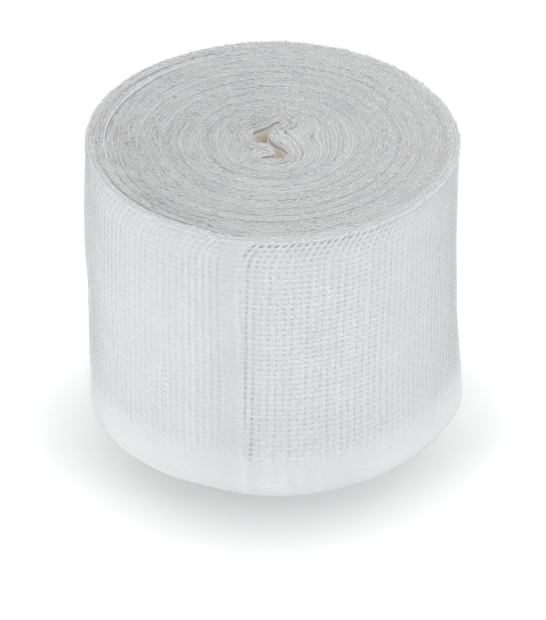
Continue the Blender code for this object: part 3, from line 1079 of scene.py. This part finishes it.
# The folds of the core are painted grey in the same way: painted shade.
core_cotton = cotton("core_cotton", (0.66, 0.66, 0.665, 1), (0.82, 0.82, 0.815, 1),
                     (0.74, 0.74, 0.74, 1), streaks=False, through=0.3, bump=0.6)
core_folds = grow("core_folds", edge_tree(core_cotton), folds, half_width=0.25, crown=0.16, skirt=1.5,
                  jitter=0.07, waver=0.06, facing=-1.0)
rim_cotton = cotton("rim_cotton", (0.94, 0.945, 0.945, 1), (0.97, 0.97, 0.97, 1),
                    (0.95, 0.955, 0.955, 1), streaks=False)
outermost_edge = grow("outermost_edge", edge_tree(rim_cotton), outermost, half_width=0.27, crown=0.08,
                      skirt=1.5, jitter=0.0, waver=0.03, facing=-1.0)

# %% [markdown]
# Along every edge the cut ends of the wefts stand out, one for each upright thread, and lie over in
# the direction of winding. They give the end face its fine bright grain, and they make the rim
# furry. Each is a short tapering strand of a few faces, set along the same lines at the pitch of the
# weave, with a fixed seed for its size and lean.

# %% Tree for the cut ends
def strand(tree, sides, segments, length, radius, bend):
    """A short strand that starts at the origin, rises along Z and bends towards X."""
    inputs = {"Vertices": sides, "Side Segments": segments, "Radius": 1.0, "Depth": 1.0}
    tube = tree.node("GeometryNodeMeshCylinder", inputs, fill_type="NGON")
    x, y, z = tree.parts(tree.node("GeometryNodeInputPosition"))
    up = z + 0.5
    taper = 1.0 - up * up * 0.6
    spot = tree.vector(
        (x * radius * taper + up * up * bend * length) * MM,
        y * radius * taper * 0.7 * MM,
        up * length * MM,
    )
    return tree.node("GeometryNodeSetPosition", {"Geometry": tube, "Position": spot})


def random_vector(tree, low, high, seed):
    inputs = {"Min": (low,) * 3, "Max": (high,) * 3, "Seed": seed}
    return tree.node("FunctionNodeRandomValue", inputs, data_type="FLOAT_VECTOR")


def set_strands(tree, points, toward, scatter, shape):
    """One strand at each point, pointing roughly along a direction."""
    toward = tree.vectors("ADD", toward, tree.vectors("SCALE", random_vector(tree, -1, 1, 11), scatter))
    turned = tree.node("FunctionNodeAlignRotationToVector", {"Vector": toward}, axis="Z")
    scale = tree.node("FunctionNodeRandomValue", {"Min": 0.6, "Max": 1.35, "Seed": 12},
                      data_type="FLOAT")
    inputs = {"Points": points, "Instance": shape, "Rotation": turned, "Scale": scale}
    strands = tree.node("GeometryNodeInstanceOnPoints", inputs)
    number = tree.node("GeometryNodeInputIndex")
    return tree.keep(strands, "thread", number, "FLOAT", "INSTANCE")


def fringe_tree(material):
    tree = Tree("cut_ends")
    spacing, length, radius = tree.size("Spacing"), tree.size("Length"), tree.size("Radius")
    bend, forward, upward = tree.size("Bend"), tree.size("Forward"), tree.size("Upward")
    scatter, stray = tree.size("Scatter"), tree.size("Stray")
    sunk, jitter, waver = tree.size("Sunk"), tree.size("Jitter"), tree.size("Waver")
    sides, segments = tree.size("Sides", "Int"), tree.size("Segments", "Int")
    curve = tree.node("GeometryNodeMeshToCurve", {"Mesh": tree.carrier})
    curve = unsettle(tree, curve, jitter, waver)
    points = tree.node("GeometryNodeCurveToPoints", {"Curve": curve, "Length": spacing * MM},
                       mode="LENGTH")
    tangent = Field(tree, points.socket.node.outputs["Tangent"])
    along = tree.vectors("SCALE", tangent, forward)
    toward = tree.vectors("ADD", along, tree.vector(0.0, 0.0, upward))
    astray = tree.vectors("SCALE", random_vector(tree, -1, 1, 13), stray * MM)
    astray = tree.vectors("ADD", astray, tree.vector(0.0, 0.0, sunk * -MM))
    points = tree.node("GeometryNodeSetPosition", {"Geometry": points, "Offset": astray})
    shape = strand(tree, sides, segments, length, radius, bend)
    return tree.finish(set_strands(tree, points, toward, scatter, shape), material)


end_cotton = cotton("end_cotton", (0.84, 0.85, 0.86, 1), (0.93, 0.93, 0.93, 1),
                    (0.88, 0.88, 0.89, 1), streaks=False, through=0.35)
fringe = fringe_tree(end_cotton)
cut_ends = grow(
    "cut_ends", fringe, winding, spacing=0.52, length=0.6, radius=0.11, bend=0.1, forward=-1.0,
    upward=0.3, scatter=0.5, stray=0.14, sunk=-0.06, jitter=0.07, waver=0.05, sides=4, segments=1,
)
core_ends = grow(
    "core_ends", fringe, folds, spacing=0.42, length=0.85, radius=0.10, bend=0.1, forward=1.0,
    upward=0.12, scatter=0.25, stray=0.08, sunk=-0.1, jitter=0.1, waver=0.06, sides=5, segments=2,
)

# %% The furry rim
def rim_lines():
    """The upper edge of the two woven turns."""
    points = [guide_grid[n, -1] for n in range(len(guide_turns)) if guide_turns[n] <= 2.0]
    links = [(n, n + 1) for n in range(len(points) - 1)]
    return line_mesh("rim_lines", points, links, [200] * len(points), [1.0] * len(points))


rim_line = rim_lines()
rim_fringe = grow(
    "rim_fringe", fringe, rim_line, spacing=0.16, length=0.9, radius=0.09, bend=0.1, forward=1.0,
    upward=0.5, scatter=0.25, stray=0.10, sunk=0.5, jitter=0.0, waver=0.0, sides=4, segments=2,
)

# %% [markdown]
# The lower end face rests on the table. It is made as the upper one is, with fewer and wider ridges,
# because only their outermost edge is ever seen, and nothing reaches below the table.

# %% The lower end face
FOOT_LIFT = 0.14                # mm, so that the ridges end on the table


def foot_lines():
    spots, turns, _ = spiral(1.0, 1.0, LAYER * 2, 1.1)
    points = [(x, y, max(read_top(x, y, -1.0), 0.0) + FOOT_LIFT) for x, y, _, _ in spots]
    links = [(n, n + 1) for n in range(len(points) - 1)]
    return line_mesh("foot_lines", points, links, turns, [1.0] * len(points))


foot_line = foot_lines()
foot_edges = grow("foot_edges", edge_tree(end_cotton), foot_line, half_width=0.45, crown=0.12, skirt=0.9,
                  jitter=0.0, waver=0.05, facing=1.0)

# %% [markdown]
# Cotton is never quite clean of loose fibres. Fine hairs stand off the wall and the rim, and they
# soften its outline against the pale ground. They are scattered over the outer turn by area, each a
# three-sided hair a fiftieth of a millimetre thick.

# %% Loose fibres
def fuzz_tree(material):
    tree = Tree("fuzz")
    density, length, radius = tree.size("Density"), tree.size("Length"), tree.size("Radius")
    around, up, _ = tree.parts(tree.attribute("cloth_uv", "FLOAT_VECTOR"))
    outer = tree.sum("GREATER_THAN", around, OUTER_START / GUIDE_LENGTH)
    above = tree.sum("GREATER_THAN", up, 0.04)
    inputs = {"Mesh": tree.carrier, "Density": density * outer * above, "Seed": 3}
    points = tree.node("GeometryNodeDistributePointsOnFaces", inputs)
    outward = tree.vectors("SCALE", tree.attribute("outward", "FLOAT_VECTOR"), 0.45)
    shape = strand(tree, 3, 4, length, radius, 0.5)
    strands = set_strands(tree, points, outward, 1.0, shape)
    return tree.finish(strands, material)


fuzz = grow("fuzz", fuzz_tree(end_cotton), guide.data.copy(), density=110000.0, length=1.0, radius=0.014)

# %% Floor and light, for the first look
scene = bpy.context.scene
scene.view_settings.view_transform = "Standard"
scene.cycles.diffuse_bounces = 12


def make_floor():
    mesh = bpy.data.meshes.new("floor")
    half = 3.0
    mesh.from_pydata([(-half, -half, 0), (half, -half, 0), (half, half, 0), (-half, half, 0)], [],
                     [(0, 1, 2, 3)])
    material = bpy.data.materials.new("pale_floor")
    material.use_nodes = True
    nodes, links = material.node_tree.nodes, material.node_tree.links
    shader = nodes["Principled BSDF"]
    place = nodes.new("ShaderNodeTexCoord").outputs["Object"]
    grain = shader_noise(nodes, links, place, 40.0, 2.0)
    colour = mix_colours(nodes, links, grain, (0.95, 0.95, 0.95, 1), (0.97, 0.97, 0.97, 1))
    links.new(colour, shader.inputs["Base Color"])
    shader.inputs["Roughness"].default_value = 0.9
    shader.inputs["Specular IOR Level"].default_value = 0.0
    shader.inputs["Emission Color"].default_value = (1, 1, 1, 1)
    shader.inputs["Emission Strength"].default_value = 0.05
    mesh.materials.append(material)
    return make_object("floor", mesh)


def softbox(name, place, aim_at, width, height, power):
    data = bpy.data.lights.new(name, "AREA")
    data.shape = "RECTANGLE"
    data.size, data.size_y = width, height
    data.energy = power
    lamp = make_object(name, data)
    lamp.location = place
    lamp.rotation_euler = (Vector(place) - Vector(aim_at)).to_track_quat("Z", "Y").to_euler()
    return lamp


floor = make_floor()
floor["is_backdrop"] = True
softbox("overhead", (0.0, 0.16, 0.86), (0.0, 0.0, 0.03), 0.42, 0.36, 6.2)
softbox("key", (-0.22, -1.43, 0.36), (0.0, 0.0, 0.03), 1.2, 0.5, 9.2)
softbox("left", (-1.35, -0.45, 0.16), (0.0, 0.0, 0.03), 0.8, 0.30, 9.4)
softbox("right", (1.38, -0.35, 0.16), (0.0, 0.0, 0.03), 0.8, 0.30, 10.4)

world = bpy.data.worlds.new("studio")
world.use_nodes = True
scene.world = world
world_nodes, world_links = world.node_tree.nodes, world.node_tree.links
sky = world_nodes["Background"]
look = world_nodes.new("ShaderNodeTexCoord").outputs["Generated"]
parts = world_nodes.new("ShaderNodeSeparateXYZ")
world_links.new(look, parts.inputs[0])
high = shader_ramp(world_nodes, world_links, parts.outputs["Z"], 0.0, 0.6)
tone = mix_colours(world_nodes, world_links, high, (0.95, 0.97, 1.0, 1), (0.12, 0.125, 0.13, 1))
world_links.new(tone, sky.inputs["Color"])
sky.inputs["Strength"].default_value = 0.4

# %% Gather the pieces under one body
PIECES = [
    outer_wefts, inner_wefts, outer_warps, inner_warps, end_band, packed, turn_edges, core_folds,
    outermost_edge, cut_ends, core_ends, rim_fringe, foot_edges, fuzz,
]
guide.hide_render = True
bpy.data.objects.remove(guide)
for piece in PIECES:
    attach(piece, "root")
    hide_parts("gauze_roll")

total = sum(len(piece.data.loop_triangles) for piece in PIECES)
print(len(PIECES), "pieces,", total, "triangles")
sizes = {"cad": [list(corner) for corner in cad_box], "visual": [list(c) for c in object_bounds()]}
print("grown by mm:", [round((v - c) / MM, 2) for cs, vs in zip(sizes["cad"], sizes["visual"])
                       for c, v in zip(cs, vs)])
